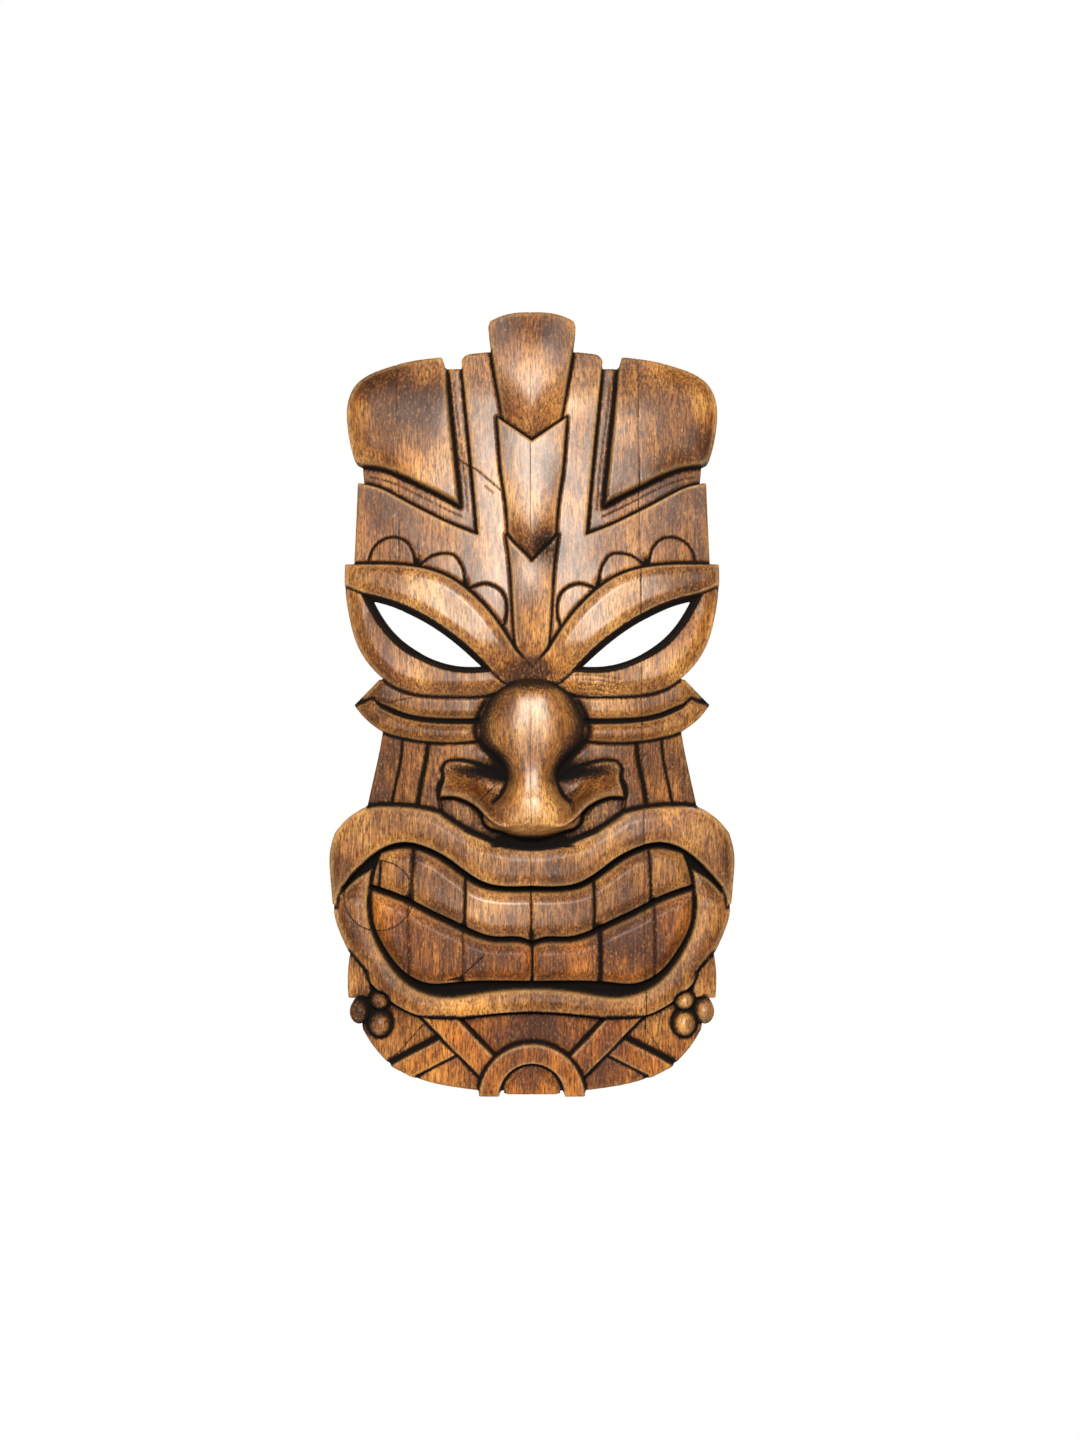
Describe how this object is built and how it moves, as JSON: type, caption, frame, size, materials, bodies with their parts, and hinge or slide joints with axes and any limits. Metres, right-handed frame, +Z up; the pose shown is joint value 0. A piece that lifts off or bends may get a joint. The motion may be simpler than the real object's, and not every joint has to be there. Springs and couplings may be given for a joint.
{
  "type": "tiki wall mask",
  "caption": "Carved wooden tiki mask in deep relief from glued staves, with cut-through eyes, a knot plug and a swinging wire hanging ring set in a pocket in its flat back.",
  "frame": {"origin": "on the flat back face, on the line of symmetry, half-way up the mask", "axes": "+Z up, the carved face looks along -Y, the back and the wall are towards +Y, +X to the right of a person facing the mask"},
  "size_m": [0.2074, 0.049, 0.4],
  "materials": {
    "carved_wood": "antique brown stain under satin varnish",
    "hanger_steel": "yellow zinc plated steel",
    "screw_steel": "bright zinc plated steel"
  },
  "bodies": {
    "mask": {"stave_outer_left": "carved_wood", "stave_inner_left": "carved_wood", "stave_inner_right": "carved_wood", "stave_outer_right": "carved_wood", "knot_plug": "carved_wood", "hanger_plate": "hanger_steel", "hanger_screws": "screw_steel"},
    "ring": {"hanger_ring": "hanger_steel"}
  },
  "joints": [
    {"name": "ring_swing", "type": "hinge", "parent": "mask", "child": "ring", "pos_m": [0, -0.0047, 0.118], "axis": [1, 0, 0], "range_deg": [0, 180]}
  ]
}
